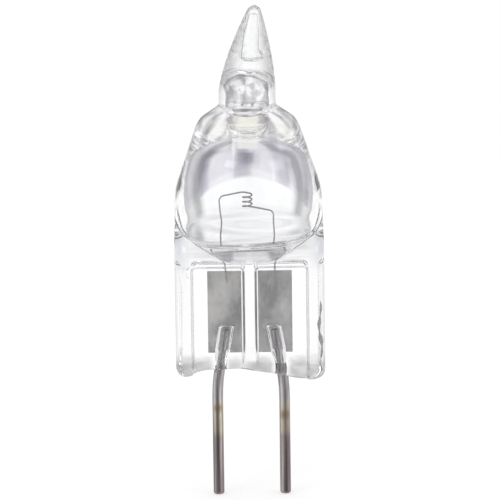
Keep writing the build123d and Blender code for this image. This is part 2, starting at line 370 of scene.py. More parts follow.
# %% [markdown]
# The underside of the seal is closed by strips from front to back. At its two ends the strips meet the
# first ring, and one face with many corners takes them all up, so that no gap is left: glass with an open
# edge bends light in the wrong way.

# %% Underside of the seal
UNDERSIDE_STEPS = 7
strips = [list(range(across))]
foot_z = [vertices[j][2] for j in range(across)]
for share in np.linspace(0, 1, UNDERSIDE_STEPS)[1:-1]:
    strips.append([len(vertices) + j for j in range(across)])
    vertices += [(vertices[j][0], (2 * share - 1) * -vertices[j][1], foot_z[j]) for j in range(across)]
strips.append([ring_size - 1 - j for j in range(across)])
for near, far in zip(strips, strips[1:]):
    faces += [(near[j], far[j], far[j + 1], near[j + 1]) for j in range(across - 1)]
faces.append([strip[-1] for strip in strips] + [ring_size + right_end + 1, ring_size + right_end])
faces.append([strip[0] for strip in reversed(strips)] + [ring_size, ring_size + left_end])
skin_points = len(vertices)
print("outer skin:", skin_points, "points,", len(faces), "faces")

# %% [markdown]
# ## Hollows in the quartz
#
# Inside are the blown hollow with its throat and chamber, a bubble in the tip, a gap round the buried end
# of each pin and a fine air line in one rib. A boolean difference would cut them, slowly and with stray
# edges. Each is instead a closed shell in the same mesh whose faces look into the hollow, so that light
# knows where it leaves the quartz. All are rings round a line, so one helper lays them.


# %% A helper that lays a closed shell round a line
def add_hollow(middles, radii, ring, reshape=None):
    """Level rings round the middles, closed by a point at each end and facing inwards."""
    first = len(vertices)
    angles = np.linspace(0, 2 * np.pi, ring, endpoint=False)
    for (mx, my, mz), radius in list(zip(middles, radii))[1:-1]:
        ring_x = mx + radius * np.cos(angles)
        ring_y = my + radius * np.sin(angles)
        points = np.stack([ring_x, ring_y, np.full(ring, mz)], axis=1)
        if reshape is not None:
            points = reshape(points)
        vertices.extend(map(tuple, points))
    count = len(middles) - 2
    for i in range(count - 1):
        low, high = first + i * ring, first + (i + 1) * ring
        for j in range(ring):
            k = (j + 1) % ring
            faces.append((low + j, high + j, high + k, low + k))
    foot, head = len(vertices), len(vertices) + 1
    vertices.extend([tuple(middles[0]), tuple(middles[-1])])
    top = first + (count - 1) * ring
    for j in range(ring):
        k = (j + 1) % ring
        faces.append((foot, first + j, first + k))
        faces.append((head, top + k, top + j))


def refine(outline, longest):
    """More points on the runs of an outline that are longer than that."""
    points = [outline[0]]
    for a, b in zip(outline, outline[1:]):
        count = max(1, int(np.ceil(np.linalg.norm(b - a) / longest)))
        points += [a + (b - a) * (k + 1) / count for k in range(count)]
    return np.array(points)


print("a run of 1 mm in steps of 0.3 mm:", len(refine(np.array([[0, 0], [1, 0]]), 0.3)), "points")

# %% [markdown]
# ## The blown hollow
#
# The hollow is a wide belly, a narrow throat and a small chamber in the stub, all open to each other. Its
# outline is turned like that of the bulb. The floor isn't quite level and the chamber is lumpy, so the
# rings are reshaped as they are laid.

# %% Outline of the blown hollow
HOLLOW_FLOOR, HOLLOW_FLOOR_RADIUS = 15.6, 3.5
HOLLOW_BELLY, HOLLOW_RADIUS = 18.3, 4.05
HOLLOW_NECK, HOLLOW_NECK_RADIUS = 21.3, 3.25
HOLLOW_ROUNDS = [0.9, 5.2, 3.2, 0.12, 0.12, 0.15]
THROAT_RADIUS, THROAT_LOW, THROAT_HIGH = 1.15, 22.64, 22.84
CHAMBER_RADIUS, CHAMBER_FOOT, CHAMBER_LOW, CHAMBER_TOP = 1.31, 23.04, 24.4, 25.7
HOLLOW_STEP = 0.12
lower_run = rounded_outline(
    [
        (0, HOLLOW_FLOOR),
        (HOLLOW_FLOOR_RADIUS, HOLLOW_FLOOR),
        (HOLLOW_RADIUS, HOLLOW_BELLY),
        (HOLLOW_NECK_RADIUS, HOLLOW_NECK),
        (THROAT_RADIUS, THROAT_LOW),
        (THROAT_RADIUS, THROAT_HIGH),
        (CHAMBER_RADIUS, CHAMBER_FOOT),
        (CHAMBER_RADIUS, CHAMBER_LOW),
    ],
    HOLLOW_ROUNDS,
    steps=14,
)
swing = np.radians(np.linspace(0, 90, 24))[1:]
chamber_z = CHAMBER_LOW + (CHAMBER_TOP - CHAMBER_LOW) * np.sin(swing)
chamber = np.stack([CHAMBER_RADIUS * np.cos(swing), chamber_z], axis=1)
hollow_outline = np.concatenate([refine(lower_run, HOLLOW_STEP), chamber])
hollow_outline[-1, 0] = 0
print("hollow:", len(hollow_outline), "rings, from", HOLLOW_FLOOR, "to", CHAMBER_TOP, "mm")

# %% Lay the blown hollow
FLOOR_SLOPE, FLOOR_FADE = 0.04, 17.2
CHAMBER_WAVES = [(1.0, 3, 2.2, 0.0), (0.8, 5, -3.7, 1.0), (0.6, 2, 5.1, 0.0)]
CHAMBER_LUMP, CHAMBER_LUMP_RUN = 0.013, (23.7, 24.5)
CHAMBER_RINGS, CHAMBER_RING_PITCH = 0.008, 44
RINGS_START, RINGS_END = (23.1, 23.2), (23.6, 23.9)


def settle(points):
    """The floor lies a little higher on the right, and the chamber is ringed below and lumpy above."""
    x, y, z = points[:, 0].copy(), points[:, 1].copy(), points[:, 2].copy()
    floor_share = 1 - smooth_step(HOLLOW_FLOOR, FLOOR_FADE, z)
    ringed = smooth_step(*RINGS_START, z) * (1 - smooth_step(*RINGS_END, z))
    rings = CHAMBER_RINGS * np.sin(CHAMBER_RING_PITCH * z) * ringed
    lumpy = lumps(np.arctan2(y, x), z, CHAMBER_WAVES) * smooth_step(*CHAMBER_LUMP_RUN, z)
    swell = 1 + CHAMBER_LUMP * lumpy + rings
    return np.stack([x * swell, y * swell, z + FLOOR_SLOPE * x * floor_share], axis=1)


hollow_radii, hollow_heights = hollow_outline.T
add_hollow([(0, 0, z) for z in hollow_heights], hollow_radii, ring=144, reshape=settle)
print("with the blown hollow:", len(vertices), "points")

# %% [markdown]
# ## The bubble in the tip
#
# As the tube was drawn off, the last of its bore closed at both ends and stayed as a long bubble that
# leans with the tip. Its foot swells to one side.

# %% Lay the bubble
BUBBLE_FOOT, BUBBLE_TOP = 26.05, 28.95
BUBBLE_LOBE, LOBE_RUN = 0.45, (26.2, 27.0)
BUBBLE_FLATNESS = 0.8
BUBBLE_STEP = 0.06
bubble_corners = [(0, BUBBLE_FOOT), (0.46, BUBBLE_FOOT), (0.42, 27.7), (0.2, BUBBLE_TOP), (0, BUBBLE_TOP)]
bubble_outline = refine(rounded_outline(bubble_corners, [0.38, 1.5, 0.17]), BUBBLE_STEP)


def lobed(points):
    """The foot of the bubble swells to the right, and the bubble is flatter than it is wide."""
    foot = 1 - smooth_step(*LOBE_RUN, points[:, 2])
    out = points[:, 0] - tip_shift(points[:, 2])
    points[:, 0] += BUBBLE_LOBE * foot * np.maximum(out, 0)
    points[:, 1] *= BUBBLE_FLATNESS
    return points


bubble_radii, bubble_heights = bubble_outline.T
add_hollow([(tip_shift(z), 0, z) for z in bubble_heights], bubble_radii, ring=56, reshape=lobed)
print("bubble:", len(bubble_outline), "rings")

# %% [markdown]
# ## Gaps round the pins
#
# Molybdenum shrinks more than quartz as it cools, so a thin gap opens round the buried end of each pin.
# It shows as a bright sleeve. The gap leans with the pin and stops at the foil behind it.

# %% Lay the gaps round the pins
PIN_BEND, PIN_END = 6.75, 10.05
PIN_OUT, PIN_IN = 2.0, 1.45
PIN_SLOPE = (PIN_OUT - PIN_IN) / (PIN_END - PIN_BEND)
FOIL_FRONT, FOIL_FOOT = 0.295, 8.65
FOIL_REACH, FOIL_BITE = 0.05, 0.012
GAP_FOOT, GAP_TOP = 7.9, 10.38
GAP_STEP = 0.08
gap_corners = [(0, GAP_FOOT), (0.29, GAP_FOOT), (0.34, 8.1), (0.49, 8.9), (0.5, GAP_TOP), (0, GAP_TOP)]
gap_outline = refine(rounded_outline(gap_corners, [0.05, 0.05, 0.3, 0.2]), GAP_STEP)


def against_foil(points):
    """The gap ends at the foil, just inside its thickness."""
    behind = points[:, 2] > FOIL_FOOT - FOIL_REACH
    flattened = np.minimum(points[:, 1], FOIL_FRONT + FOIL_BITE)
    points[:, 1] = np.where(behind, flattened, points[:, 1])
    return points


gap_radii, gap_heights = gap_outline.T
for side in (-1, 1):
    middles = [(side * (PIN_OUT - PIN_SLOPE * (z - PIN_BEND)), 0, z) for z in gap_heights]
    add_hollow(middles, gap_radii, ring=56, reshape=against_foil)
print("gaps round the pins: 2 of", len(gap_outline), "rings")

# %% [markdown]
# ## The air line
#
# A fine line of air was drawn out in the right rib when the tube was pinched. It is a thin shell that
# swells and narrows on its way up, laid like the other hollows.

# %% Lay the air line
AIR_LINE_X, AIR_LINE_Y = 3.9, -0.35
AIR_LINE_LOW, AIR_LINE_HIGH = 8.25, 11.85
AIR_LINE_RADIUS = 0.075
AIR_LINE_POINTS = 61
SWAY_X, SWAY_X_WAVES = 0.03, 9
SWAY_Y, SWAY_Y_WAVES = 0.04, 6
BEAD_DEPTH, BEAD_WAVES = 0.3, 23
up = np.linspace(0, 1, AIR_LINE_POINTS)
air_x = AIR_LINE_X + SWAY_X * np.sin(SWAY_X_WAVES * up)
air_y = AIR_LINE_Y + SWAY_Y * np.sin(SWAY_Y_WAVES * up)
air_z = np.linspace(AIR_LINE_LOW, AIR_LINE_HIGH, AIR_LINE_POINTS)
beads = 1 - BEAD_DEPTH + BEAD_DEPTH * np.sin(BEAD_WAVES * up)
air_radius = AIR_LINE_RADIUS * np.sin(np.pi * up) ** 0.5 * beads
add_hollow(list(zip(air_x, air_y, air_z)), air_radius, ring=20)
print("with all hollows:", len(vertices), "points,", len(faces), "faces")

# %% [markdown]
# ## One object for the quartz
#
# Where the bulb is round, the front and back columns meet at the sides and their points fall together,
# so points that coincide are merged with bmesh. Merging by hand in Edit Mode does the same. An attribute
# remembers which points belong to a hollow, for the finish. Smooth shading gives glass its even surface.

# %% Mesh of the envelope
MERGE_WITHIN = 2e-7
SHORTEST_EDGE = 1e-8
skin = bpy.data.meshes.new("quartz_envelope")
skin.from_pydata([tuple(c * MM for c in v) for v in vertices], [], faces)
on_hollow = skin.attributes.new("hollow", "FLOAT", "POINT")
on_hollow.data.foreach_set("value", (np.arange(len(vertices)) >= skin_points).astype(float))
work = bmesh.new()
work.from_mesh(skin)
bmesh.ops.remove_doubles(work, verts=work.verts, dist=MERGE_WITHIN)
bmesh.ops.dissolve_degenerate(work, edges=work.edges, dist=SHORTEST_EDGE)
for face in work.faces:
    face.smooth = True
work.to_mesh(skin)
open_edges = sum(1 for edge in work.edges if len(edge.link_faces) != 2)
volume = work.calc_volume(signed=True) / MM**3
work.free()
triangles = sum(len(polygon.vertices) - 2 for polygon in skin.polygons)
print("envelope:", triangles, "triangles, open edges", open_edges, "volume", round(volume, 2), "cubic mm")

# %% The envelope takes the place of its CAD piece
quartz_envelope = bpy.data.objects.new("quartz_envelope", skin)
bpy.context.scene.collection.objects.link(quartz_envelope)
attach(quartz_envelope, "root")
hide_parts("envelope")
print("envelope size in mm:", [round(v / MM, 2) for v in quartz_envelope.dimensions])

# %% [markdown]
# ## A bench for nodes
#
# Every finish here is a tree of shader nodes. In the Shader Editor each node is added and wired by hand.
# In a script that takes many lines, so a small bench has a short word for each kind of node. A value that
# is a socket is linked, and a plain value is set on the socket itself.

# %% The bench
MIX_SHARE, MIX_UNDER, MIX_OVER, MIX_RESULT = 0, 6, 7, 2


class Bench:
    """One node tree, with short words for the nodes that this lesson lays in it."""

    def __init__(self, tree):
        self.tree = tree

    def feed(self, target, value):
        """Link a socket to the target, or set a plain value on it."""
        if isinstance(value, bpy.types.NodeSocket):
            self.tree.links.new(value, target)
        else:
            target.default_value = value

    def node(self, kind, inputs=None, **settings):
        """A new node with its settings and its inputs."""
        node = self.tree.nodes.new("ShaderNode" + kind)
        for name, value in settings.items():
            setattr(node, name, value)
        for key, value in (inputs or {}).items():
            self.feed(node.inputs[key], value)
        return node

    def place(self):
        """Where a point lies on its piece, in metres."""
        return self.node("TexCoord").outputs["Object"]

    def math(self, operation, *values, clamp=False):
        """A sum on sockets or plain numbers."""
        node = self.node("Math", dict(enumerate(values)), operation=operation, use_clamp=clamp)
        return node.outputs["Value"]

    def product(self, *shares):
        """All shares multiplied."""
        whole = shares[0]
        for share in shares[1:]:
            whole = self.math("MULTIPLY", whole, share)
        return whole

    def ease(self, value, low, high, least=0.0, most=1.0):
        """Least at low and most at high, eased between. Low may be the larger of the two."""
        inputs = {"Value": value, "From Min": low, "From Max": high, "To Min": least, "To Max": most}
        return self.node("MapRange", inputs, interpolation_type="SMOOTHSTEP").outputs["Result"]

    def noise(self, waves, detail, roughness=0.5):
        """A cloudy noise with that many waves to the metre along each axis."""
        stretched = self.node("Mapping", {"Vector": self.place(), "Scale": waves}).outputs["Vector"]
        inputs = {"Vector": stretched, "Scale": 1.0, "Detail": detail, "Roughness": roughness}
        return self.node("TexNoise", inputs).outputs["Fac"]

    def ramp(self, share, stops):
        """A colour that follows the share through stops of position and shade."""
        node = self.node("ValToRGB", {"Fac": share})
        handles = node.color_ramp.elements
        for position, shade in stops[1:-1]:
            handles.new(position)
        for handle, (position, shade) in zip(handles, stops):
            handle.position = position
            handle.color = (*shade, 1)
        return node.outputs["Color"]

    def grey_ramp(self, share, stops):
        """A ramp whose shades are greys, each given as one number."""
        return self.ramp(share, [(position, (grey, grey, grey)) for position, grey in stops])

    def mixed(self, share, under, over, blend="MIX"):
        """One colour laid over another by that share."""
        inputs = {MIX_SHARE: share, MIX_UNDER: under, MIX_OVER: over}
        return self.node("Mix", inputs, data_type="RGBA", blend_type=blend).outputs[MIX_RESULT]

    def mixed_shaders(self, share, under, over):
        """One shader in place of another by that share."""
        return self.node("MixShader", {0: share, 1: under, 2: over}).outputs["Shader"]


def new_finish(name):
    """A node material, the bench to lay its nodes on, and its main shader."""
    material = bpy.data.materials.new(name)
    material.use_nodes = True
    return material, Bench(material.node_tree), material.node_tree.nodes["Principled BSDF"]


print("words of the bench:", [word for word in vars(Bench) if not word.startswith("_")])

# %% [markdown]
# ## Clear fused quartz
#
# Fused quartz is clear, with hardly any colour and a lower index than window glass. The flame leaves its
# surface very slightly wavy. A Glass shader would bend light in the same way. The Principled shader is
# used because each new material starts with one. Its Base Color tints light wherever that enters or
# leaves the quartz, which the marks further down need.

# %% Clear quartz with a slight ripple
QUARTZ_INDEX = 1.458
QUARTZ_TONE = (0.985, 0.988, 0.992, 1)
RIPPLE_WAVES = (420, 420, 420)
RIPPLE_HEIGHT, RIPPLE_STRENGTH = 0.02 * MM, 0.05
quartz, bench, quartz_shader = new_finish("clear_quartz")
quartz_shader.inputs["Transmission Weight"].default_value = 1.0
quartz_shader.inputs["IOR"].default_value = QUARTZ_INDEX
quartz_shader.inputs["Roughness"].default_value = 0.0
ripple_inputs = {
    "Height": bench.noise(RIPPLE_WAVES, detail=2),
    "Strength": RIPPLE_STRENGTH,
    "Distance": RIPPLE_HEIGHT,
}
ripple = bench.node("Bump", ripple_inputs)
bench.feed(quartz_shader.inputs["Normal"], ripple.outputs["Normal"])
quartz_envelope.data.materials.append(quartz)
print("quartz:", len(quartz.node_tree.nodes), "nodes so far")

# %% [markdown]
# ## Marks in the quartz
#
# Clear quartz takes its greys from what stands round it. Here most of those greys are painted shade,
# grey tints in the quartz's own colour: dark lines at its edges, a greyish painted haze inside the bulb,
# and smoky and cloudy patches of shade. They could be painted on the mesh as vertex colours, but those
# would be no finer than the mesh. Here each mark is a shade and a product of shares that say where it
# lies: inside or outside, at which heights, how far from the middle and how far it is seen edge on.

# %% Where a point of the quartz lies
axes = bench.node("SeparateXYZ", {"Vector": bench.place()}).outputs
aside = bench.math("ABSOLUTE", axes["X"])
inside = bench.node("Attribute", attribute_name="hollow").outputs["Fac"]
outside = bench.ease(inside, 1, 0)
facing = bench.node("LayerWeight", {"Blend": 0.5}).outputs["Facing"]


def rises(measure, start, full):
    """0 up to the start and 1 from where it is full, in millimetres."""
    return bench.ease(measure, start * MM, full * MM)


def falls(measure, full, gone):
    """1 up to where it is full and 0 from where it is gone, in millimetres."""
    return bench.ease(measure, gone * MM, full * MM)


def cloudy(waves, detail, clear, full):
    """A share from a noise: 0 where the noise is below clear and 1 where it is above full."""
    return bench.ease(bench.noise(waves, detail), clear, full)


print("measures of a point:", axes.keys(), "aside, inside, outside and facing")

# %% [markdown]
# A mark is noted first and laid over the quartz later, so that each step below can show its own marks. The
# helper turns pairs of heights and of distances from the middle into shares and multiplies them.

# %% A helper that notes a mark
marks = []


def mark(name, shade, *shares, edge_on=None, from_z=None, to_z=None, from_side=None, to_side=None):
    """Note a mark: its shade, and the shares that say where it lies.

    The from pairs say where it starts and where it is full, the to pairs where it is full and where it
    is gone, in millimetres. edge_on says between which turns away from the eye it comes up.
    """
    shares = list(shares)
    if edge_on:
        shares.append(bench.ease(facing, *edge_on))
    for measure, start_full, full_gone in ((axes["Z"], from_z, to_z), (aside, from_side, to_side)):
        if start_full:
            shares.append(rises(measure, *start_full))
        if full_gone:
            shares.append(falls(measure, *full_gone))
    marks.append((name, bench.product(*shares), shade))


print("marks noted:", len(marks))

# %% [markdown]
# Painted shade draws dark lines on the wall of the hollow where it is seen edge on, with a paler one
# between them, in place of the darker reflections at the edges of clear glass. They start higher near
# the middle, above the floor of the hollow, so their foot leans. A ramp over the turn away from the eye
# gives the lines their order.

# %% Edge lines of the hollow
WALL_LEAN = 0.35
WALL_START, WALL_FULL = 16.7, 17.5
WALL_CLEAR = [(0.0, 0.0), (0.26, 0.0)]
WALL_INNER_LINE = [(0.36, 0.78), (0.44, 0.78)]
WALL_PALE_LINE = [(0.54, 0.5), (0.66, 0.52)]
WALL_OUTER_LINE = [(0.78, 0.88), (1.0, 1.0)]
WALL_LINES = WALL_CLEAR + WALL_INNER_LINE + WALL_PALE_LINE + WALL_OUTER_LINE
leaning = bench.math("MULTIPLY_ADD", aside, WALL_LEAN, axes["Z"])
wall_lines = bench.grey_ramp(facing, WALL_LINES)
wall_start = rises(leaning, WALL_START, WALL_FULL)
# painted shade: dark edge lines on the wall of the hollow
mark("wall", (0.03, 0.029, 0.04), inside, wall_lines, wall_start, to_z=(21.0, 21.9))
print("marks so far:", [name for name, share, shade in marks])

# %% [markdown]
# A greyish painted shade lies on the upper wall, bounded below by an arch and left clear in a small
# window at the throat. On the back wall it gathers in painted streaks of shade that run down, and in one
# dark painted patch.

# %% Painted shade, streaks of shade and a dark patch on the wall of the hollow
ARCH_CURVE, ARCH_LEAN = 0.16, 0.25
ARCH_START, ARCH_FULL = 19.2, 19.5
STREAKS_ROUND, STREAK_WANDER = 9, 2.0
squared = bench.product(axes["X"], axes["X"])
leaning = bench.math("MULTIPLY_ADD", axes["Y"], ARCH_LEAN, axes["Z"])
arch = bench.math("MULTIPLY_ADD", squared, ARCH_CURVE / MM, leaning)
window = bench.product(falls(aside, 0.45, 0.8), rises(axes["Z"], 21.5, 21.8))
on_arch = rises(arch, ARCH_START, ARCH_FULL)
upper_shade = bench.product(inside, on_arch, falls(axes["Z"], 22.4, 22.7), bench.math("SUBTRACT", 1, window))
turn = bench.math("ARCTAN2", axes["X"], axes["Y"])
wander = bench.noise((700, 700, 120), detail=2)
swayed = bench.math("MULTIPLY_ADD", wander, STREAK_WANDER, bench.math("MULTIPLY", turn, STREAKS_ROUND))
ribs = bench.math("COSINE", swayed)
# painted shade over the upper wall, made uneven by a noise
mark("bloom", (0.78, 0.77, 0.82), upper_shade, cloudy((500, 500, 150), 3, 0.0, 0.5))
# painted shade in streaks that run down the back wall
mark("streaks", (0.42, 0.41, 0.46), upper_shade, rises(axes["Y"], 0.0, 1.0), bench.ease(ribs, -0.2, 1.0))
# painted shade in one dark patch on the back wall
dark_patch_cloud = cloudy((2600, 700, 90), 2, 0.1, 0.7)
dark_patch_place = bench.product(inside, rises(axes["Y"], 1.6, 2.8), falls(aside, 0.2, 0.9))
mark("smoke", (0.2, 0.19, 0.24), dark_patch_place, dark_patch_cloud, from_z=(19.0, 20.2), to_z=(20.9, 21.6))
print("marks so far:", [name for name, share, shade in marks])

# %% [markdown]
# Painted shade darkens the outside of the dome towards its rim. Above it, where the quartz was drawn in
# to the stub, faint ribs of painted shade run up. Painted shade also draws grey lines on the flanks of
# the webs and of the seal's edges, and darkens the air line in place of the light that it bends away.

# %% Painted shade on the dome, the seal and the air line
# painted shade: the outside of the dome darkens towards its rim
mark("rim", (0.4, 0.39, 0.44), outside, edge_on=(0.4, 0.85), from_z=(18.4, 20.0), to_z=(23.4, 24.2))
# painted shade: faint ribs above the dome, where the quartz was drawn in
painted_rib_shade = bench.product(outside, bench.ease(ribs, 0.1, 0.95))
mark("drawn", (0.42, 0.41, 0.45), painted_rib_shade, from_z=(21.0, 21.9), to_z=(23.1, 23.5), from_side=(0.7, 1.3))
# painted shade: grey lines on the flanks of the webs and of the seal's edges
mark("flank", (0.5, 0.5, 0.52), outside, edge_on=(0.3, 0.75), to_z=(13.9, 14.3))
# painted shade: the air line is darkened
mark("dark_air", (0.3, 0.295, 0.31), inside, from_side=(3.6, 3.75), to_z=(12.3, 12.6))
print("marks so far:", [name for name, share, shade in marks])

# %% [markdown]
# In the stub and the tip the quartz was hottest. There painted shade draws dark outlines round the
# bubble, the chamber and the edges of the stub, mottles the chamber and greys the skin of the tip,
# cloudier towards its edges. The throat has a slightly warm collar. The painted grey of the tip is
# lightest along its own axis, which leans.

# %% Painted shade and a warm collar in the stub and the tip
TIP_SLOPE = TIP_LEAN / (TIP_TOP - TIP_FOOT)
# painted shade: dark outlines of the bubble and the chamber
mark("bubble_line", (0.06, 0.06, 0.065), inside, edge_on=(0.35, 0.7), from_z=(26.0, 26.06))
mark("chamber_line", (0.22, 0.22, 0.24), inside, edge_on=(0.3, 0.8), from_z=(22.9, 23.3), to_z=(25.72, 25.76))
# painted shade: dark mottles on the wall of the chamber
mottled_shade_share = cloudy((1500, 1500, 900), 3, 0.48, 0.64)
mark("mottle", (0.42, 0.415, 0.44), inside, mottled_shade_share, from_z=(23.2, 23.8), to_z=(25.6, 25.75))
# painted shade: the edges of the stub and the tip
mark("stub", (0.45, 0.445, 0.46), outside, edge_on=(0.2, 0.8), from_z=(23.5, 24.1))
# painted shade: the tip's skin greys away from its leaning axis
tip_axis = bench.math("MULTIPLY_ADD", axes["Z"], TIP_SLOPE, -TIP_SLOPE * TIP_FOOT * MM)
off_axis = bench.math("ABSOLUTE", bench.math("SUBTRACT", axes["X"], tip_axis))
mark("body", (0.8, 0.798, 0.8), outside, rises(off_axis, 0.2, 0.55), from_z=(24.2, 25.4))
# painted shade: a cloudy grey on the tip's skin, stronger towards its edges
tip_shade_cloud = cloudy((2500, 2500, 2500), 5, 0.1, 0.6)
mark("flame", (0.68, 0.675, 0.685), outside, tip_shade_cloud, edge_on=(0.03, 0.35), from_z=(24.2, 25.0))
mark("collar", (0.97, 0.955, 0.91), from_z=(21.9, 22.2), to_z=(22.9, 23.2))
print("marks so far:", [name for name, share, shade in marks])

# %% [markdown]
# Lower down, painted shade greys the shoulders beside the bulb and the quartz under its floor, lays a
# faint cloudy grey on the side ribs, and clouds the melted foot except close to the pins.

# %% Painted shade of the shoulders, the ribs and the foot
PIN_AT_FOOT = 1.82
# painted shade: grey shoulders beside the bulb
mark("shoulder", (0.6, 0.61, 0.65), outside, from_side=(3.3, 4.2), from_z=(13.6, 14.6), to_z=(15.6, 16.8))
# painted shade: a cloudy grey on the outside of the bulb's foot, under the floor of the hollow
foot_cloud = bench.product(outside, cloudy((260, 260, 2600), 3, 0.25, 0.7))
mark("bulb_foot", (0.63, 0.625, 0.64), foot_cloud, to_side=(3.2, 3.9), from_z=(14.1, 14.5), to_z=(15.9, 16.5))
# painted shade: a faint cloudy grey on the side ribs
side_rib_shade_cloud = cloudy((1100, 1100, 130), 3, 0.3, 0.7)
mark("veil", (0.87, 0.862, 0.87), outside, side_rib_shade_cloud, from_side=(3.3, 3.7), to_z=(14.0, 14.4))
# painted shade: the melted foot clouds grey, except close to the pins
off_pin = bench.math("ABSOLUTE", bench.math("SUBTRACT", aside, PIN_AT_FOOT * MM))
foot_shade_cloud = cloudy((900, 900, 1500), 3, 0.15, 0.65)
mark("foot", (0.5, 0.495, 0.5), outside, foot_shade_cloud, rises(off_pin, 0.3, 0.7), to_z=(8.1, 8.5))
print("marks so far:", [name for name, share, shade in marks])

# %% [markdown]
# All marks, the painted shade and the warm collar, are multiplied into the quartz's own tone, one after
# the other.

# %% Lay the marks over the quartz
colour = QUARTZ_TONE
for name, share, shade in marks:
    colour = bench.mixed(share, colour, (*shade, 1), "MULTIPLY")
bench.feed(quartz_shader.inputs["Base Color"], colour)
print("quartz:", len(marks), "marks,", len(quartz.node_tree.nodes), "nodes")

# %% [markdown]
# ## Metals
#
# The pins are drawn molybdenum wire with fine lines along their length. The foils are rolled and etched,
# which leaves them mottled, and the filament is matt tungsten. An image could show that, but a node noise
# stays sharp at any distance. All three share one kind of finish: a stretched noise that drives the
# colour, the roughness and a tiny bump together, as real grain does.

# %% A helper for grainy metal
GRAIN_DETAIL, GRAIN_ROUGHNESS = 6, 0.65
GRAIN_DARK_AT, GRAIN_LIGHT_AT = 0.36, 0.64
WEAR = 0.1
GRAIN_HEIGHT, GRAIN_STRENGTH = 0.01 * MM, 0.25


def grainy_metal(name, dark, light, rough, grain):
    """A metal between two shades, with its bench, its shader and the colour of its grain."""
    material, bench, shader = new_finish(name)
    streaks = bench.noise(grain, GRAIN_DETAIL, GRAIN_ROUGHNESS)
    worn = bench.node("MapRange", {"Value": streaks, "To Min": rough - WEAR, "To Max": rough + WEAR})
    bump_inputs = {"Height": streaks, "Strength": GRAIN_STRENGTH, "Distance": GRAIN_HEIGHT}
    bump = bench.node("Bump", bump_inputs)
    colour = bench.ramp(streaks, [(GRAIN_DARK_AT, dark), (GRAIN_LIGHT_AT, light)])
    shader.inputs["Metallic"].default_value = 1.0
    bench.feed(shader.inputs["Roughness"], worn.outputs["Result"])
    bench.feed(shader.inputs["Normal"], bump.outputs["Normal"])
    bench.feed(shader.inputs["Base Color"], colour)
    return material, bench, shader, colour


foil_shades = (0.26, 0.26, 0.265), (0.56, 0.55, 0.54)
foil_metal, *_ = grainy_metal("foil_molybdenum", *foil_shades, rough=0.42, grain=(600, 600, 380))
wire_shades = (0.3, 0.29, 0.29), (0.5, 0.48, 0.48)
wire_metal, *_ = grainy_metal("filament_tungsten", *wire_shades, rough=0.45, grain=(9000, 9000, 9000))
print("grainy metals:", foil_metal.name, wire_metal.name)

# %% [markdown]
# ## Heat tints and a painted reflection on the pins
#
# The sealing flame tinted the pins: pinkish grey at the free ends, a pale straw band in the middle and
# bluish grey near the quartz, with a brown spot on each. A ramp over the height gives the bands, and the
# distance from a point gives each spot. A second ramp is a painted reflection: it darkens the middle and
# the sides of the round wire, where it would mirror the darker parts of a studio.

# %% Pins
PIN_TOP = 10.1
HEAT_BANDS = [
    (0.0, (0.95, 0.84, 0.85)),
    (0.345, (0.97, 0.86, 0.87)),
    (0.385, (1.3, 1.2, 1.0)),
    (0.55, (1.4, 1.33, 1.15)),
    (0.59, (1.25, 1.25, 1.28)),
    (1.0, (1.1, 1.08, 1.1)),
]
PIN_PAINTED_REFLECTION = [(0.0, 0.36), (0.04, 0.42), (0.14, 1.0), (0.32, 1.0), (0.55, 0.55), (1.0, 0.5)]
BROWN, BROWN_STRENGTH = (0.15, 0.09, 0.05, 1), 0.75
BROWN_SPOTS = [((-2.0, -0.33, 5.3), 0.45), ((2.0, -0.33, 4.85), 0.5)]
pin_shades = (0.15, 0.142, 0.145), (0.56, 0.535, 0.54)
pin_finish = grainy_metal("pin_molybdenum", *pin_shades, rough=0.2, grain=(3600, 3600, 90))
pin_metal, pin_bench, pin_shader, colour = pin_finish
height = pin_bench.node("SeparateXYZ", {"Vector": pin_bench.place()}).outputs["Z"]
way_up = pin_bench.node("MapRange", {"Value": height, "From Max": PIN_TOP * MM}).outputs["Result"]
colour = pin_bench.mixed(1.0, colour, pin_bench.ramp(way_up, HEAT_BANDS), "MULTIPLY")
turned_away = pin_bench.node("LayerWeight", {"Blend": 0.5}).outputs["Facing"]
# painted reflection: darker middle and sides of the round pins
colour = pin_bench.mixed(1.0, colour, pin_bench.grey_ramp(turned_away, PIN_PAINTED_REFLECTION), "MULTIPLY")
for spot, reach in BROWN_SPOTS:
    ends = {0: pin_bench.place(), 1: [c * MM for c in spot]}
    away = pin_bench.node("VectorMath", ends, operation="DISTANCE").outputs["Value"]
    colour = pin_bench.mixed(pin_bench.ease(away, reach * MM, 0, most=BROWN_STRENGTH), colour, BROWN)
pin_bench.feed(pin_shader.inputs["Base Color"], colour)
print("pins:", len(pin_metal.node_tree.nodes), "nodes")

# %% [markdown]
# The metal pieces keep their CAD meshes, so each only gets its finish in place of the plain CAD one.

# %% Put the metals on their pieces
finishes = {
    "pin_left": pin_metal,
    "pin_right": pin_metal,
    "foil_left": foil_metal,
    "foil_right": foil_metal,
    "filament": wire_metal,
}
for name, material in finishes.items():
    mesh = nodes[name].data
    mesh.materials.clear()
    mesh.materials.append(material)
    for polygon in mesh.polygons:
        polygon.material_index = 0
print("finishes:", {name: material.name for name, material in finishes.items()})

# %% [markdown]
# ## A white room
#
# Clear glass shows only what stands round it, and in an evenly white room it would vanish. A photographer
# puts grey cards beside it. Here the room has soft grey bands: it is white behind the bulb from each of
# eight sides and grey between them and overhead, which draws the edges of the quartz. Metal sees its own
# four broad grey strips. The Light Path node tells which kind of ray asks, and the camera itself sees white.

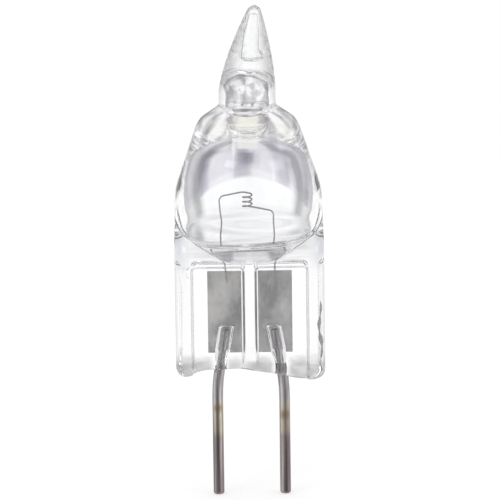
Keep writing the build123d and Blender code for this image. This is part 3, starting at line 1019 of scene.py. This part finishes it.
# %% Bands that the quartz and the metal see
WHITE = (1, 1, 1, 1)
BAND_GREY, BAND_WHITE = (0.55, 0.545, 0.58), (1, 1, 1)
BAND_SIDES, BAND_EDGE, BAND_TOP = 8, (-0.75, 0.0), (0.18, 0.4)
CEILING_EDGE = (0.95, 0.55)
STRIP_SIDES, STRIP_EDGE, STRIP_DARK = 4, (1.0, -0.6), 0.22
world = bpy.data.worlds.new("white_room")
bpy.context.scene.world = world
world.use_nodes = True
world.node_tree.nodes.clear()
room = Bench(world.node_tree)
look = room.node("SeparateXYZ", {"Vector": room.node("TexCoord").outputs["Generated"]}).outputs
azimuth = room.math("ARCTAN2", look["X"], look["Y"])
bands = room.ease(room.math("COSINE", room.math("MULTIPLY", azimuth, BAND_SIDES)), *BAND_EDGE)
above_bands = room.ease(look["Z"], *BAND_TOP)
below_ceiling = room.ease(look["Z"], *CEILING_EDGE)
white_share = room.math("MULTIPLY", room.math("MAXIMUM", above_bands, bands), below_ceiling)
quartz_sees = room.ramp(white_share, [(0.0, BAND_GREY), (1.0, BAND_WHITE)])
strips_round = room.math("COSINE", room.math("MULTIPLY", azimuth, STRIP_SIDES))
metal_sees = room.ease(strips_round, *STRIP_EDGE, least=STRIP_DARK)
print("bands:", BAND_SIDES, "white sides for the quartz,", STRIP_SIDES, "grey strips for the metal")

# %% Which ray sees what
ROOM_LIGHT = 1.05


def backdrop(colour, strength=1.0):
    """A background shader of that colour."""
    return room.node("Background", {"Color": colour, "Strength": strength}).outputs["Background"]


ray = room.node("LightPath").outputs
glossy_or_through = room.math("ADD", ray["Is Glossy Ray"], ray["Is Transmission Ray"], clamp=True)
mirrored = room.mixed_shaders(ray["Is Transmission Ray"], backdrop(metal_sees), backdrop(quartz_sees))
lit = room.mixed_shaders(glossy_or_through, backdrop(WHITE, ROOM_LIGHT), mirrored)
seen = room.mixed_shaders(ray["Is Camera Ray"], lit, backdrop(WHITE))
room.node("OutputWorld", {"Surface": seen})
print("room:", len(world.node_tree.nodes), "nodes")

# %% [markdown]
# ## Floor
#
# The bulb stands on a sheet of white paper. Paper alone would look greyish away from the lamps, so a half
# of what the camera sees of it is an even glow, and the other half is lit paper, which keeps the shadow
# of the pins. The sheet lies a hair below the pins, so that the two don't flicker through each other.

# %% White paper
FLOOR_HALF, FLOOR_DROP = 2.0, 2e-5
PAPER_WHITE = (0.95, 0.95, 0.95, 1)
PAPER_GLOW = 0.5
sheet = [(-1, -1), (1, -1), (1, 1), (-1, 1)]
floor_mesh = bpy.data.meshes.new("floor")
floor_mesh.from_pydata([(x * FLOOR_HALF, y * FLOOR_HALF, -FLOOR_DROP) for x, y in sheet], [], [(0, 1, 2, 3)])
floor = bpy.data.objects.new("floor", floor_mesh)
bpy.context.scene.collection.objects.link(floor)
paper, paper_bench, paper_shader = new_finish("white_paper")
paper_shader.inputs["Base Color"].default_value = PAPER_WHITE
paper_shader.inputs["Roughness"].default_value = 0.9
paper_shader.inputs["Specular IOR Level"].default_value = 0.1
ray = paper_bench.node("LightPath").outputs
camera_or_glossy = paper_bench.math("ADD", ray["Is Camera Ray"], ray["Is Glossy Ray"])
looked_at = paper_bench.math("ADD", camera_or_glossy, ray["Is Transmission Ray"], clamp=True)
glow = paper_bench.node("Emission", {"Color": WHITE}).outputs["Emission"]
glow_share = paper_bench.math("MULTIPLY", looked_at, PAPER_GLOW)
surface = paper_bench.mixed_shaders(glow_share, paper_shader.outputs["BSDF"], glow)
paper_bench.feed(paper.node_tree.nodes["Material Output"].inputs["Surface"], surface)
floor_mesh.materials.append(paper)
print("floor:", 2 * FLOOR_HALF, "m square")

# %% [markdown]
# ## Lamps
#
# The room gives most of the light. Two small softboxes in front add the bright spots that tell the eye
# that the quartz is hard and polished. Point lamps would give specks instead, and a sun lamp a hard shadow.

# %% Soft lamps
LAMP_SIZE = 0.12
LAMP_AIM = Vector((0, 0, 0.015))


def soft_lamp(name, place, power):
    """A square area lamp that looks at the bulb."""
    lamp = bpy.data.lights.new(name, "AREA")
    lamp.shape = "SQUARE"
    lamp.size = LAMP_SIZE
    lamp.energy = power
    holder = bpy.data.objects.new(name, lamp)
    bpy.context.scene.collection.objects.link(holder)
    holder.location = place
    holder.rotation_euler = (LAMP_AIM - Vector(place)).to_track_quat("-Z", "Y").to_euler()
    print(name, "gives", power, "W")


soft_lamp("key_lamp", (-0.16, -0.2, 0.22), 0.14)
soft_lamp("fill_lamp", (0.2, -0.12, 0.14), 0.08)

# %% [markdown]
# ## Camera
#
# The photograph looks straight at the flat of the seal from a long way off, a little from above. The bulb
# lies slightly askew in it, so the camera is rolled and not the bulb. Glass inside glass needs many
# bounces, or its depths go black.

# %% Camera and bounces
DISTANCE, ELEVATION, ROLL = 0.25, 10, -0.77
AIM_X, AIM_Z = 0.05, 14.82
VIEW_WIDTH = 29.74 * MM
SENSOR = 36
camera = bpy.data.cameras.new("camera")
camera.sensor_width = SENSOR
camera.lens = SENSOR * DISTANCE / VIEW_WIDTH
camera.clip_start = 0.01
camera_object = bpy.data.objects.new("camera", camera)
tilt = radians(ELEVATION)
camera_object.location = (AIM_X * MM, -DISTANCE * cos(tilt), AIM_Z * MM + DISTANCE * sin(tilt))
roll = Euler((0, 0, radians(ROLL))).to_matrix()
camera_object.rotation_euler = (Euler((radians(90) - tilt, 0, 0)).to_matrix() @ roll).to_euler()
scene = bpy.context.scene
scene.collection.objects.link(camera_object)
scene.camera = camera_object
scene.view_settings.view_transform = "Standard"
scene.cycles.max_bounces = 40
scene.cycles.transmission_bounces = 40
scene.cycles.glossy_bounces = 16
print("lens:", round(camera.lens), "mm at", DISTANCE, "m")
